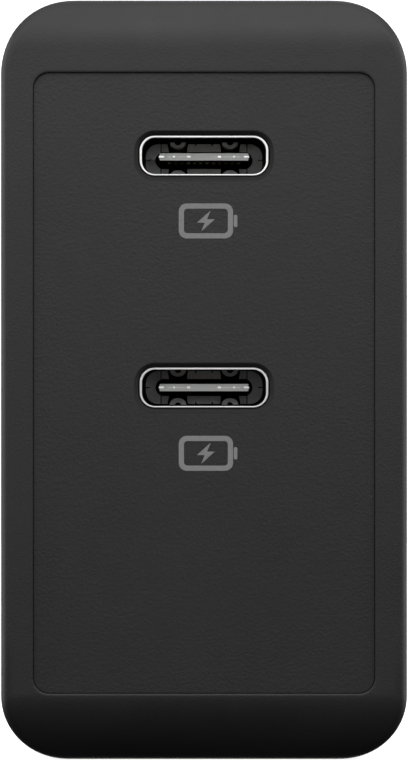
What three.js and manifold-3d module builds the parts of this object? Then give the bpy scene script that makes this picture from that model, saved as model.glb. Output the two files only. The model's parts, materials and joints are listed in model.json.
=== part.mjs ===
// USB wall charger with two USB-C ports, one above the other, and a folding two-blade plug.
// Millimetres. The ports face -Y, the wall face is at y = 0, +Z is up. The origin is the
// centre of the wall face.
import * as THREE from 'three';
import { mergeVertices } from 'three/addons/utils/BufferGeometryUtils.js';
import Module from 'manifold-3d';

const wasm = await Module();
wasm.setup();

// ---------------------------------------------------------------- driving dimensions
const body = { width: 28, height: 52.96, depth: 48, corner: 4.75, wall: 1.9 };
const front = { rollTop: 3.8, rollSide: 0.65, bezel: 2.0 };
const rear = { edge: 1.2, plate: 2.2, seam: 0.1, spigotWall: 0.8, spigotDepth: 3.3, spigotGap: 0.1 };
const panel = {
  width: 23.55, height: 43.2, corner: 1.05, centreZ: -0.2, inset: 0.3, gap: 0.06,
  flangeWidth: 24.1, flangeHeight: 46.6, flangeThickness: 1.2, flangeCorner: 2,
};
const port = {
  heights: { upper: 15.5, lower: -0.5 },
  mouthWidth: 9.5, mouthHeight: 3.42,
  shellWidth: 8.97, shellHeight: 2.82, shellWall: 0.2, shellFront: -47.35, shellLength: 8.1,
  shellCorner: 1.1, legAbove: 0.75, legWidth: 0.6, legLength: 1.3,
  tongueWidth: 5.5, tongueThickness: 0.5, tongueTip: -46.0, backWall: -41.6,
  railWidth: 0.36, railGap: 0.04, contactCount: 12, contactPitch: 0.44, contactWidth: 0.24,
  contactThickness: 0.07,
};
const collar = {
  halfWidth: 4, halfHeight: 1.05, corner: 0.5, thickness: 0.31, gap: 0.05, holeGap: 0.1,
};
const mark = {
  width: 4.04, height: 2.41, line: 0.3, corner: 0.5, nub: 0.32, nubHalf: 0.45, thickness: 0.04,
  x: 0.28, below: 4.55,
};
const plug = {
  pivotY: -3.7, pivotZ: 9, radius: 3.3, length: 17.8, windowGap: 0.25,
  trunnionRadius: 1.4, trunnionReach: 11, seatGap: 0.07, flat: 2.9, flatHalf: 3,
};
const blade = {
  spacing: 12.7, thickness: 1.5, width: 6.35, reach: 17, rootWidth: 3.2, tailWidth: 2.4,
  tailReach: 4.6, holeRadius: 1.6, holeFromWall: 11.8, slotGap: 0.06,
  tipCorner: 1.6, chamferLength: 1.4, chamferDepth: 0.45,
};
const pocket = { width: 2.6, depth: 7.4, wall: 1.0, clearance: 0.5 };
const scoop = { radius: 7, depth: 1.6, above: 5.4 };
const clamp = {
  inner: 9.25, outer: 11.15, below: 2.2, above: 6.6, screwAbove: 4.4, depth: 2.5, gap: 0.1,
};
const screw = {
  headRadius: 0.9, headHeight: 0.7, shankRadius: 0.52, pilotRadius: 0.62,
  crossHalf: 0.5, crossWidth: 0.2, crossDepth: 0.35,
};
const contactFinger = {
  footHalf: 1.6, fingerHalf: 0.7, thickness: 0.3, footBottom: -3, tipY: -7.12, gap: 0.06,
};
const mainBoard = { face: -9.8, thickness: 1.2, front: -36.5, back: -9.6, halfHeight: 23.4 };
const portBoard = { front: -39.0, thickness: 1.2, width: 21, bottom: -7, top: 22.5, slotGap: 0.25 };
const lead = { radius: 0.3, hole: 0.5, length: 1.9, sides: 6 };
const wireRadius = 0.42;
const standOff = 0.1;

// ---------------------------------------------------------------- materials
const standard = (color, roughness, metalness = 0) =>
  new THREE.MeshStandardMaterial({ color, roughness, metalness });
const materials = {
  housing: standard(0x232323, 0.55),
  panel: standard(0x202020, 0.62),
  print: standard(0x767676, 0.7),
  steel: standard(0xc8c8c6, 0.28, 1),
  portPlastic: standard(0x1b1b1c, 0.5),
  gold: standard(0xd9b25c, 0.3, 1),
  blade: standard(0xc9c4b4, 0.3, 1),
  spring: standard(0xb88746, 0.35, 1),
  board: standard(0x1d4a2b, 0.45),
  copper: standard(0xb3662f, 0.35, 1),
  ferrite: standard(0x2c2d30, 0.6),
  winding: standard(0xd8b93a, 0.45),
  aluminium: standard(0xa9adb1, 0.4, 1),
  filmBox: standard(0xc9a227, 0.5),
  ceramicBlue: standard(0x2b5f9e, 0.45),
  chip: standard(0x17181a, 0.5),
  capSleeve: standard(0x22252b, 0.4),
  fuseBody: standard(0x8a6f4f, 0.55),
  insulation: standard(0xe6e2d2, 0.6),
  thermal: standard(0x8f9fb3, 0.8),
  whitePlastic: standard(0xdcdcd6, 0.5),
  wire: standard(0x303236, 0.5),
};

// How far a cutter runs past the material that it cuts, and how far joined solids run into
// each other.
const beyond = 5;
const weld = 0.5;

// ---------------------------------------------------------------- solids
const X = new THREE.Vector3(1, 0, 0);
const Y = new THREE.Vector3(0, 1, 0);
const Z = new THREE.Vector3(0, 0, 1);

function solid(geometry) {
  const bare = geometry.clone();
  bare.deleteAttribute('normal');
  bare.deleteAttribute('uv');
  const merged = mergeVertices(bare, 1e-4);
  return new wasm.Manifold(new wasm.Mesh({
    numProp: 3,
    vertProperties: new Float32Array(merged.attributes.position.array),
    triVerts: new Uint32Array(merged.index.array),
  }));
}

function geometryOf(manifold) {
  const mesh = manifold.getMesh();
  const geometry = new THREE.BufferGeometry();
  geometry.setAttribute('position', new THREE.BufferAttribute(mesh.vertProperties, 3));
  geometry.setIndex(new THREE.BufferAttribute(mesh.triVerts, 1));
  const faceted = geometry.toNonIndexed();
  faceted.computeVertexNormals();
  return faceted;
}

const join = (first, ...others) => others.reduce((sum, next) => sum.add(next), first);
const cut = (first, ...others) => others.reduce((rest, next) => rest.subtract(next), first);

function box(x0, x1, y0, y1, z0, z1) {
  const geometry = new THREE.BoxGeometry(x1 - x0, y1 - y0, z1 - z0);
  return solid(geometry.translate((x0 + x1) / 2, (y0 + y1) / 2, (z0 + z1) / 2));
}

// A rectangle with rounded corners; radii are lower-left, lower-right, upper-right, upper-left.
function roundedRectangle(x0, x1, y0, y1, radii) {
  const [a, b, c, d] = Array.isArray(radii) ? radii : [radii, radii, radii, radii];
  const shape = new THREE.Shape();
  shape.moveTo(x0 + a, y0).lineTo(x1 - b, y0);
  if (b) shape.absarc(x1 - b, y0 + b, b, -Math.PI / 2, 0);
  shape.lineTo(x1, y1 - c);
  if (c) shape.absarc(x1 - c, y1 - c, c, 0, Math.PI / 2);
  shape.lineTo(x0 + d, y1);
  if (d) shape.absarc(x0 + d, y1 - d, d, Math.PI / 2, Math.PI);
  shape.lineTo(x0, y0 + a);
  if (a) shape.absarc(x0 + a, y0 + a, a, Math.PI, 1.5 * Math.PI);
  return shape;
}

const extruded = (shape, depth, curveSegments) =>
  new THREE.ExtrudeGeometry(shape, { depth, bevelEnabled: false, curveSegments });

// The shape is drawn in X and Z.
function alongY(shape, y0, y1, curveSegments = 6) {
  return solid(extruded(shape, y1 - y0, curveSegments).rotateX(Math.PI / 2).translate(0, y1, 0));
}

// The shape is drawn in Y and Z.
function alongX(shape, x0, x1, curveSegments = 6) {
  const turn = new THREE.Matrix4().makeBasis(Y, Z, X);
  return solid(extruded(shape, x1 - x0, curveSegments).applyMatrix4(turn).translate(x0, 0, 0));
}

// The shape is drawn in X and Y.
function alongZ(shape, z0, z1, curveSegments = 6) {
  return solid(extruded(shape, z1 - z0, curveSegments).translate(0, 0, z0));
}

function rod(axis, radius, from, length, segments = 16) {
  const geometry = new THREE.CylinderGeometry(radius, radius, length, segments);
  geometry.applyQuaternion(new THREE.Quaternion().setFromUnitVectors(Y, axis));
  const middle = from.clone().addScaledVector(axis, length / 2);
  return solid(geometry.translate(middle.x, middle.y, middle.z));
}

const at = (x, y, z) => new THREE.Vector3(x, y, z);
const ordered = (a, b) => (a < b ? [a, b] : [b, a]);

const charger = new THREE.Group();
charger.name = 'usb_wall_charger';

function piece(name, manifold, material, parent = charger) {
  const mesh = new THREE.Mesh(geometryOf(manifold), material);
  mesh.name = name;
  parent.add(mesh);
  return mesh;
}

// ---------------------------------------------------------------- housing
const halfWidth = body.width / 2;
const halfHeight = body.height / 2;
const seamY = -rear.plate;

// The outside of the whole charger: an upright rounded outline whose front edge rolls over
// widely at the top and bottom and tightly at the sides.
function outerForm() {
  const outline = roundedRectangle(-halfWidth, halfWidth, -halfHeight, halfHeight, body.corner);
  const sideView = roundedRectangle(-body.depth, 0, -halfHeight, halfHeight,
    [front.rollTop, rear.edge, rear.edge, front.rollTop]);
  const topView = roundedRectangle(-halfWidth, halfWidth, -body.depth, 0,
    [front.rollSide, front.rollSide, rear.edge, rear.edge]);
  return alongY(outline, -body.depth, 0, 8)
    .intersect(alongX(sideView, -halfWidth, halfWidth))
    .intersect(alongZ(topView, -halfHeight, halfHeight, 3));
}

function insideOutline(inset) {
  const x = halfWidth - inset;
  const z = halfHeight - inset;
  return roundedRectangle(-x, x, -z, z, body.corner - inset);
}

function panelOutline(gap) {
  const x = panel.width / 2 - gap;
  const z = panel.height / 2 - gap;
  return roundedRectangle(-x, x, panel.centreZ - z, panel.centreZ + z, panel.corner - gap);
}

function housingSleeve(form) {
  const bezelBack = -body.depth + front.bezel;
  const keep = box(-halfWidth, halfWidth, -body.depth, seamY - rear.seam, -halfHeight, halfHeight);
  const cavity = alongY(insideOutline(body.wall), bezelBack, 0);
  const opening = alongY(panelOutline(0), -body.depth - beyond, bezelBack + beyond);
  return cut(form.intersect(keep), cavity, opening);
}

function frontPanel() {
  const face = -body.depth + panel.inset;
  const shoulder = -body.depth + front.bezel + panel.gap;
  const flangeX = panel.flangeWidth / 2;
  const flangeZ = panel.flangeHeight / 2;
  const flange = roundedRectangle(-flangeX, flangeX, -flangeZ, flangeZ, panel.flangeCorner);
  const mouthX = port.mouthWidth / 2;
  const mouthZ = port.mouthHeight / 2;
  const mouths = Object.values(port.heights).map((z) => alongY(
    roundedRectangle(-mouthX, mouthX, z - mouthZ, z + mouthZ, mouthZ * 0.96),
    face - beyond, shoulder + panel.flangeThickness + beyond));
  return cut(join(
    alongY(panelOutline(panel.gap), face, shoulder + panel.flangeThickness / 2),
    alongY(flange, shoulder, shoulder + panel.flangeThickness),
  ), ...mouths);
}

// ---------------------------------------------------------------- folding plug
const bladeX = blade.spacing / 2;
const pocketBottom = plug.pivotZ - (blade.reach - plug.pivotY) - pocket.clearance;
const clampScrewX = (clamp.inner + clamp.outer) / 2;

function rearCover(form) {
  const keep = box(-halfWidth, halfWidth, seamY, 0, -halfHeight, halfHeight);
  const spigotInset = body.wall + rear.spigotGap;
  const spigotOuter = alongY(insideOutline(spigotInset), seamY - rear.spigotDepth, seamY + weld);
  const spigotInner = alongY(insideOutline(spigotInset + rear.spigotWall),
    seamY - rear.spigotDepth - beyond, seamY);
  let cover = join(form.intersect(keep), cut(spigotOuter, spigotInner));

  const window = plug.radius + plug.windowGap;
  const windowHalf = plug.length / 2 + 0.8 * plug.windowGap;
  const opening = box(-windowHalf, windowHalf, -20, beyond,
    plug.pivotZ - window, plug.pivotZ + window);
  const pocketHalf = pocket.width / 2;
  for (const side of [-1, 1]) {
    const x = side * bladeX;
    const outer = pocketHalf + pocket.wall;
    cover = cover.add(box(x - outer, x + outer, -pocket.depth - pocket.wall, seamY + weld,
      pocketBottom - pocket.wall, plug.pivotZ - window));
  }
  for (const side of [-1, 1]) {
    const x = side * bladeX;
    cover = cover.subtract(box(x - pocketHalf, x + pocketHalf, -pocket.depth, beyond,
      pocketBottom, plug.pivotZ));
  }
  cover = cover.subtract(opening);

  for (const side of [-1, 1]) {
    const [x0, x1] = ordered(side * clamp.inner, side * clamp.outer);
    const seat = plug.trunnionRadius + plug.seatGap;
    const seatStart = at(x0 - weld, plug.pivotY, plug.pivotZ);
    const pilotStart = at(side * clampScrewX, plug.pivotY - 1, plug.pivotZ + clamp.screwAbove);
    cover = cover.add(box(x0, x1, plug.pivotY, seamY + weld,
      plug.pivotZ - clamp.below, plug.pivotZ + clamp.above));
    cover = cover.subtract(rod(X, seat, seatStart, x1 - x0 + 2 * weld, 24));
    cover = cover.subtract(rod(Y, screw.pilotRadius, pilotStart, 1 - plug.pivotY - 1.5, 12));
  }

  // A shallow scoop between the pockets lets a fingertip reach the folded blades.
  const { radius, depth, above } = scoop;
  const reach = bladeX - pocketHalf / 2;
  return cover.subtract(
    rod(X, radius, at(-reach, radius - depth, pocketBottom + above), reach * 2, 32));
}

function plugCarrier() {
  const { pivotY, pivotZ, radius, length } = plug;
  const barrel = rod(X, radius, at(-length / 2, pivotY, pivotZ), length, 32);
  const trunnion = rod(X, plug.trunnionRadius, at(-plug.trunnionReach, pivotY, pivotZ),
    plug.trunnionReach * 2, 24);
  const halfBlade = blade.thickness / 2 + blade.slotGap;
  const root = blade.rootWidth / 2 + blade.slotGap;
  const [low, high, back, front] = [pivotZ - beyond, pivotZ + beyond, pivotY - beyond, pivotY + beyond];
  const slots = [-bladeX, bladeX].map((x) => join(
    box(x - halfBlade, x + halfBlade, pivotY - blade.slotGap, front, low, high),
    box(x - halfBlade, x + halfBlade, back, pivotY, pivotZ - root, pivotZ + root),
  ));
  // Flats on the cam face the detent spring with the plug out and with the plug folded.
  const flats = join(
    box(-plug.flatHalf, plug.flatHalf, back, pivotY - plug.flat, low, high),
    box(-plug.flatHalf, plug.flatHalf, back, front, low, pivotZ - plug.flat),
  );
  return cut(join(barrel, trunnion), ...slots, flats);
}

function plugBlade(x) {
  const { pivotY, pivotZ } = plug;
  const { reach, tipCorner, chamferLength, chamferDepth } = blade;
  const [low, high] = [pivotZ - blade.width / 2, pivotZ + blade.width / 2];
  const halfRoot = blade.rootWidth / 2;
  const halfTail = blade.tailWidth / 2;
  const half = blade.thickness / 2;
  const profile = join(
    alongX(roundedRectangle(pivotY, reach, low, high, [0, tipCorner, tipCorner, 0]), x - half, x + half),
    box(x - half, x + half, pivotY - plug.radius, pivotY + weld, pivotZ - halfRoot, pivotZ + halfRoot),
    box(x - half, x + half, pivotY - blade.tailReach, pivotY, pivotZ - halfTail, pivotZ + halfTail),
  );
  // The tip is chamfered on both broad faces.
  const tip = new THREE.Shape();
  tip.moveTo(x - half, pivotY - beyond).lineTo(x + half, pivotY - beyond);
  tip.lineTo(x + half, reach - chamferLength).lineTo(x + half - chamferDepth, reach);
  tip.lineTo(x - half + chamferDepth, reach).lineTo(x - half, reach - chamferLength);
  const hole = rod(X, blade.holeRadius, at(x - half - beyond, blade.holeFromWall, pivotZ),
    blade.thickness + 2 * beyond, 20);
  return cut(profile.intersect(alongZ(tip, low - beyond, high + beyond)), hole);
}

function pivotClamp(side) {
  const [x0, x1] = ordered(side * clamp.inner, side * clamp.outer);
  const faceY = plug.pivotY - clamp.gap;
  const seat = plug.trunnionRadius + plug.seatGap;
  const screwStart = at(side * clampScrewX, faceY - clamp.depth - 1, plug.pivotZ + clamp.screwAbove);
  return cut(
    box(x0, x1, faceY - clamp.depth, faceY, plug.pivotZ - clamp.below, plug.pivotZ + clamp.above),
    rod(X, seat, at(x0 - 1, plug.pivotY, plug.pivotZ), x1 - x0 + 2, 24),
    rod(Y, screw.pilotRadius, screwStart, clamp.depth + 2, 12),
  );
}

function clampScrew(side) {
  const seatY = plug.pivotY - clamp.gap - clamp.depth - 0.05;
  const z = plug.pivotZ + clamp.screwAbove;
  const x = side * clampScrewX;
  const headTop = seatY - screw.headHeight;
  const head = rod(Y, screw.headRadius, at(x, headTop, z), screw.headHeight, 16);
  const shank = rod(Y, screw.shankRadius, at(x, seatY - 0.25, z), clamp.depth + 2, 12);
  const [long, short] = [screw.crossHalf, screw.crossWidth / 2];
  const [top, bottom] = [headTop - 1, headTop + screw.crossDepth];
  const cross = join(
    box(x - long, x + long, top, bottom, z - short, z + short),
    box(x - short, x + short, top, bottom, z - long, z + long),
  );
  return cut(join(head, shank), cross);
}

// A bent strip of sheet metal: points in Y and Z, thickness to the left of the path.
function strip(points, thickness, x0, x1) {
  const left = points.map(([y, z], i) => {
    const [ya, za] = points[Math.max(i - 1, 0)];
    const [yb, zb] = points[Math.min(i + 1, points.length - 1)];
    const length = Math.hypot(yb - ya, zb - za);
    return [y - (zb - za) / length * thickness, z + (yb - ya) / length * thickness];
  });
  const outline = [...points, ...left.reverse()];
  return alongX(new THREE.Shape(outline.map(([y, z]) => new THREE.Vector2(y, z))), x0, x1);
}

// The leaf stands on the cover between the pockets and lies against the flat of the cam.
function detentSpring() {
  const flatY = plug.pivotY - plug.flat - 0.05;
  return strip([
    [-2.35, 1.2], [-5.4, 1.8], [flatY - 0.35, 3.6], [flatY - 0.3, 6.2], [flatY, 8],
    [flatY, 10], [flatY - 0.6, 11.6],
  ], 0.3, -1.9, 1.9);
}

// The finger bears under the tail of the blade; the foot stands behind the blade's pocket.
function contactSpring(side) {
  const { footHalf, fingerHalf, thickness, footBottom, tipY, gap } = contactFinger;
  const x = side * bladeX;
  const tailUnder = plug.pivotZ - blade.tailWidth / 2 - gap;
  const backY = -pocket.depth - pocket.wall - gap;
  const [outer, under] = [backY - thickness, tailUnder - thickness];
  return join(
    box(x - footHalf, x + footHalf, outer, backY, footBottom, tailUnder),
    box(x - fingerHalf, x + fingerHalf, outer, tipY, under, tailUnder),
  );
}

// From the foot of each contact spring to the main board, clear of the bulk capacitors.
function leadWire(side) {
  const start = at(side * bladeX, -9.5, -2.2);
  const boardX = mainBoard.face + 0.7;
  const leftRoute = [
    start, at(-6.6, -9.75, -3.6), at(-8.2, -9.8, -2.8), at(boardX, -10.2, 0.2), at(boardX, -11, 2.6),
  ];
  const rightRoute = [
    start, at(5.6, -9.75, -5), at(-1, -9.7, -8.2), at(-7, -9.8, -8.8), at(boardX, -10.8, -8.2),
  ];
  const extrudePath = new THREE.CatmullRomCurve3(side < 0 ? leftRoute : rightRoute);
  const section = new THREE.Shape().absarc(0, 0, wireRadius, 0, Math.PI * 2);
  return solid(new THREE.ExtrudeGeometry(section,
    { extrudePath, steps: 16, curveSegments: 4, bevelEnabled: false }));
}

// ---------------------------------------------------------------- USB-C receptacles
// The X and Z of the four shell legs, from the centre of the port.
const shellLegs = [-1, 1].flatMap((side) => [-1, 1].map(
  (end) => [side * (port.shellWidth - port.shellWall) / 2, end * port.legAbove]));

function portShell() {
  const outerX = port.shellWidth / 2;
  const outerZ = port.shellHeight / 2;
  const wall = port.shellWall;
  const y0 = port.shellFront;
  const y1 = y0 + port.shellLength;
  const outer = roundedRectangle(-outerX, outerX, -outerZ, outerZ, port.shellCorner);
  const inner = roundedRectangle(-outerX + wall, outerX - wall, -outerZ + wall, outerZ - wall,
    port.shellCorner - wall);
  const legs = shellLegs.map(([x, z]) => box(x - wall / 2, x + wall / 2,
    y1 - weld, y1 + port.legLength, z - port.legWidth / 2, z + port.legWidth / 2));
  return join(cut(alongY(outer, y0, y1, 4), alongY(inner, y0 - 1, y1 + 1, 4)), ...legs);
}

const railX = port.tongueWidth / 2 + port.railGap;
const contactX = (index) => (index - (port.contactCount - 1) / 2) * port.contactPitch;
const contactHalf = port.contactWidth / 2;

// The moulding: a back block that fills the shell, with a thin tongue reaching forward. The
// contact strips lie in slots, and the rails of the mid plate run along its sides.
function portTongue() {
  const blockX = port.shellWidth / 2 - port.shellWall - 0.05;
  const blockZ = port.shellHeight / 2 - port.shellWall - 0.05;
  const back = port.shellFront + port.shellLength - 0.2;
  const half = port.tongueThickness / 2;
  const block = alongY(roundedRectangle(-blockX, blockX, -blockZ, blockZ, 0.8), port.backWall, back);
  const tongue = alongY(roundedRectangle(-port.tongueWidth / 2, port.tongueWidth / 2,
    -half, half, 0.12), port.tongueTip, port.backWall + weld, 2);
  const gap = port.railGap;
  const railSlots = [-1, 1].map((side) => {
    const [x0, x1] = ordered(side * (railX - gap), side * (railX + port.railWidth + gap));
    return box(x0, x1, port.backWall - 1, back + 1, -half - gap, half + gap);
  });
  const contactSlots = [-1, 1].map((side) => {
    const [z0, z1] = ordered(side * (half - 0.02), side * (half + port.contactThickness + 0.05));
    return box(contactX(0) - 0.2, contactX(port.contactCount - 1) + 0.2,
      port.backWall - 1, back + 1, z0, z1);
  });
  return cut(join(block, tongue), ...railSlots, ...contactSlots);
}

function portMidPlate() {
  const back = port.shellFront + port.shellLength - 0.15;
  const tie = back + 0.12;
  const half = port.tongueThickness / 2;
  const rails = [-1, 1].map((side) => {
    const [x0, x1] = ordered(side * railX, side * (railX + port.railWidth));
    return box(x0, x1, port.tongueTip + 0.05, tie, -half, half);
  });
  return join(...rails, box(-railX - 0.1, railX + 0.1, back, tie, -0.15, 0.15));
}

// One lead frame per port: twelve strips on each face of the tongue, still joined at the back.
function portContacts() {
  const back = port.shellFront + port.shellLength;
  const tie = back + 0.12;
  const half = port.tongueThickness / 2 + 0.01;
  const last = port.contactCount - 1;
  const parts = [];
  for (const side of [-1, 1]) {
    const [z0, z1] = ordered(side * half, side * (half + port.contactThickness));
    for (let index = 0; index <= last; index += 1) {
      const outerPin = index % 3 === 0 || index === last;
      const tip = port.tongueTip + (outerPin ? 0.5 : 0.9);
      const x = contactX(index);
      parts.push(box(x - contactHalf, x + contactHalf, tip, tie, z0, z1));
    }
    parts.push(box(contactX(0) - contactHalf, contactX(last) + contactHalf, back, tie, z0, z1));
  }
  // Two ties join the upper and the lower strips behind the moulding.
  for (const x of [contactX(3), contactX(last - 3)]) {
    parts.push(box(x - contactHalf, x + contactHalf, back, tie, -half, half));
  }
  return join(...parts);
}

function portCollar() {
  const outline = roundedRectangle(-collar.halfWidth, collar.halfWidth,
    -collar.halfHeight, collar.halfHeight, collar.corner);
  const back = port.backWall - collar.gap;
  const holeX = railX + port.railWidth + collar.holeGap;
  const holeZ = port.tongueThickness / 2 + port.contactThickness + collar.holeGap;
  return cut(alongY(outline, back - collar.thickness, back, 3),
    box(-holeX, holeX, back - 1, back + 1, -holeZ, holeZ));
}

function addPort(name, height) {
  const group = new THREE.Group();
  group.position.z = height;
  charger.add(group);
  piece(`${name}_port_shell`, portShell(), materials.steel, group);
  piece(`${name}_port_tongue`, portTongue(), materials.portPlastic, group);
  piece(`${name}_port_mid_plate`, portMidPlate(), materials.steel, group);
  piece(`${name}_port_contacts`, portContacts(), materials.gold, group);
  piece(`${name}_port_collar`, portCollar(), materials.portPlastic, group);
  piece(`${name}_port_mark`, portMark(), materials.print, group);
}

// A printed battery outline with a charging bolt across it, on the panel below the port.
function portMark() {
  const face = -body.depth + panel.inset - 0.01;
  const { line, nub, nubHalf, corner } = mark;
  const x0 = mark.x - mark.width / 2;
  const x1 = mark.x + mark.width / 2 - nub;
  const z0 = -mark.below - mark.height / 2;
  const z1 = z0 + mark.height;
  const ink = (shape) => alongY(shape, face - mark.thickness, face, 2);
  const outline = roundedRectangle(x0, x1, z0, z1, corner);
  const hole = roundedRectangle(x0 + line, x1 - line, z0 + line, z1 - line, corner - line);
  const middle = (z0 + z1) / 2;
  const centre = (x0 + x1) / 2;
  const bolt = new THREE.Shape([
    [0.42, 1.0], [-0.62, -0.16], [-0.06, -0.16], [-0.42, -1.0], [0.62, 0.16], [0.06, 0.16],
  ].map(([x, z]) => new THREE.Vector2(centre + x, middle + z)));
  const cap = roundedRectangle(x1 - line / 2, x1 + nub, middle - nubHalf, middle + nubHalf,
    [0, 0.2, 0.2, 0]);
  return join(cut(ink(outline), alongY(hole, face - 1, face + 1, 2)), ink(bolt), ink(cap));
}

// ---------------------------------------------------------------- electronics
const boardFace = mainBoard.face;
const boardHoles = [];

// One wire lead through the main board, from a length below a component's foot, and its hole.
function pin(y, z, foot = standOff, length = lead.length) {
  const start = at(boardFace + foot + weld - length, y, z);
  boardHoles.push(rod(X, lead.hole, at(boardFace - beyond, y, z), 2 * beyond, lead.sides));
  return rod(X, lead.radius, start, length, lead.sides);
}

const pins = (...places) => places.map(([y, z]) => pin(y, z));

const standing = (height, y0, y1, z0, z1) =>
  box(boardFace + standOff, boardFace + standOff + height, y0, y1, z0, z1);

function addRoundCapacitor(name, radius, height, y, z, material) {
  const [groove, rim] = [0.25, 0.3];
  const profile = [
    [0, 0], [radius, 0], [radius, 1.2], [radius - groove, 1.5], [radius, 1.8],
    [radius, height - rim], [radius - rim, height], [0, height],
  ];
  const can = new THREE.LatheGeometry(profile.map(([r, h]) => new THREE.Vector2(r, h)), 16);
  can.rotateZ(-Math.PI / 2).translate(boardFace + standOff, y, z);
  const pitch = radius * 0.45;
  piece(name, join(solid(can), ...pins([y - pitch, z], [y + pitch, z])), material);
}

function addFuse() {
  const [radius, length, y, z] = [1.9, 7.6, -12.6, 18.6];
  const foot = 2.5;
  const ends = [-1, 1].map((end) => pin(y, z + end * (length / 2 - 0.8), foot, foot + lead.length));
  const tube = rod(Z, radius, at(boardFace + foot, y, z - length / 2), length, 20);
  piece('fuse', join(tube, ...ends), materials.fuseBody);
}

// A ferrite ring with one winding over its upper half and one over its lower half.
function addChoke() {
  const core = { outer: 5, inner: 2.7, width: 4.2 };
  const wire = { outer: 5.7, inner: 2, width: 5.8 };
  const [gap, parting, reach] = [0.1, 0.9, 8];
  const middle = at(boardFace + 3.3, -20.8, 17);
  const ring = ({ outer, inner, width }) => cut(
    rod(X, outer, at(middle.x - width / 2, middle.y, middle.z), width, 28),
    rod(X, inner, at(middle.x - width / 2 - 1, middle.y, middle.z), width + 2, 28));
  const clearance = ring({
    outer: core.outer + gap, inner: core.inner - gap, width: core.width + 2 * gap,
  });
  piece('choke_core', ring(core), materials.ferrite);
  for (const [place, side] of [['lower', -1], ['upper', 1]]) {
    const [z0, z1] = ordered(middle.z + side * parting, middle.z + side * reach);
    const half = box(middle.x - reach, middle.x + reach, middle.y - reach, middle.y + reach, z0, z1);
    piece(`choke_winding_${place}`, ring(wire).intersect(half).subtract(clearance), materials.copper);
  }
}

function addInlet() {
  addFuse();
  addChoke();
  piece('x_capacitor', join(standing(12, -35.6, -28.2, 10.8, 23),
    ...pins([-31.9, 12.4], [-31.9, 21.4])), materials.filmBox);
  piece('bridge_rectifier', join(standing(2.6, -26.6, -20.2, 3.8, 9.8),
    ...pins([-25.4, 4.8], [-25.4, 8.8], [-21.4, 4.8], [-21.4, 8.8])), materials.chip);

  const disc = { radius: 3.2, thickness: 2.6, foot: 1.2, y: -13.2, z: -20, pitch: 2.2 };
  const discPins = [-1, 1].map((end) => pin(disc.y + end * disc.pitch, disc.z, disc.foot));
  piece('y_capacitor', join(rod(X, disc.radius, at(boardFace + disc.foot, disc.y, disc.z),
    disc.thickness, 20), ...discPins), materials.ceramicBlue);

  const bulk = { radius: 4.2, height: 19, y: -15.6, top: 8.2, pitch: 9.2 };
  ['upper', 'middle', 'lower'].forEach((place, index) => addRoundCapacitor(
    `bulk_capacitor_${place}`, bulk.radius, bulk.height, bulk.y, bulk.top - index * bulk.pitch,
    materials.capSleeve));
}

// Two E-shaped core halves close around the bobbin, which carries one block of winding.
function addTransformer() {
  const [y0, y1, z0, z1] = [-35.4, -21, -14.8, 2.2];
  const [middleY, middleZ] = [(y0 + y1) / 2, (z0 + z1) / 2];
  const core = { web: 2.4, leg: 2.3, post: 3, inset: 2.6, parting: 0.05 };
  const bobbin = { tube: 3.7, bore: 3.1, flange: 0.8, insetY: 2.6, insetZ: 0.6, pinInset: 1.4 };
  const [base, height] = [boardFace + 0.6, 15.5];
  const top = base + height;
  const [flangeLow, flangeHigh] = [base + core.web + 0.2, top - core.web - 0.2 - bobbin.flange];

  const flange = (x) => box(x, x + bobbin.flange, y0 + bobbin.insetY, y1 - bobbin.insetY,
    z0 + bobbin.insetZ, z1 - bobbin.insetZ);
  const tube = rod(X, bobbin.tube, at(flangeLow, middleY, middleZ), flangeHigh - flangeLow + weld, 24);
  const bore = rod(X, bobbin.bore, at(base - 1, middleY, middleZ), height + 2, 24);
  const foot = flangeLow - boardFace;
  const legs = [z0 + bobbin.pinInset, z1 - bobbin.pinInset].flatMap((z) =>
    [-2.5, 2.5].map((dy) => pin(middleY + dy, z, foot, foot + lead.length)));
  piece('transformer_bobbin', join(cut(join(flange(flangeLow), flange(flangeHigh), tube), bore),
    ...legs), materials.chip);

  const room = 0.1;
  const [woundLow, woundHigh] = [flangeLow + bobbin.flange + room, flangeHigh - room];
  piece('transformer_winding', cut(
    rod(X, 6, at(woundLow, middleY, middleZ), woundHigh - woundLow, 28).intersect(
      box(base, top, y0 + core.leg + 0.2, y1 - core.leg - 0.2, z0, z1)),
    rod(X, bobbin.tube + room, at(base, middleY, middleZ), height, 24)), materials.winding);

  const [low, high] = [z0 + core.inset, z1 - core.inset];
  const middleX = base + height / 2;
  for (const [end, x0, x1, web] of [
    ['base', base, middleX - core.parting, base],
    ['top', middleX + core.parting, top, top - core.web],
  ]) {
    piece(`transformer_core_${end}`, join(
      box(web, web + core.web, y0, y1, low, high),
      box(x0, x1, y0, y0 + core.leg, low, high),
      box(x0, x1, y1 - core.leg, y1, low, high),
      rod(X, core.post, at(x0, middleY, middleZ), x1 - x0, 24),
    ), materials.ferrite);
  }
  return top;
}

function addOutput() {
  const can = { radius: 3.15, height: 10, z: -19.4 };
  for (const [place, y] of [['front', -32.2], ['rear', -25]]) {
    addRoundCapacitor(`output_capacitor_${place}`, can.radius, can.height, y, can.z,
      materials.aluminium);
  }
  piece('sync_rectifier', standing(1, -21.4, -17.6, -22.4, -17.4), materials.chip);
  piece('optocoupler', join(standing(2.2, -34.8, -30.4, 4.4, 9),
    ...pins([-33.6, 5.2], [-31.6, 5.2])), materials.whitePlastic);
}

function addBoardBack() {
  const back = boardFace - mainBoard.thickness - 0.05;
  const chip = (y0, y1, z0, z1) => box(back - 0.7, back, y0, y1, z0, z1);
  piece('primary_controller', chip(-22.6, -18.6, -12.6, -7.6), materials.chip);
  piece('main_switch', chip(-31, -25, -9.5, -3.5), materials.chip);
}

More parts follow.
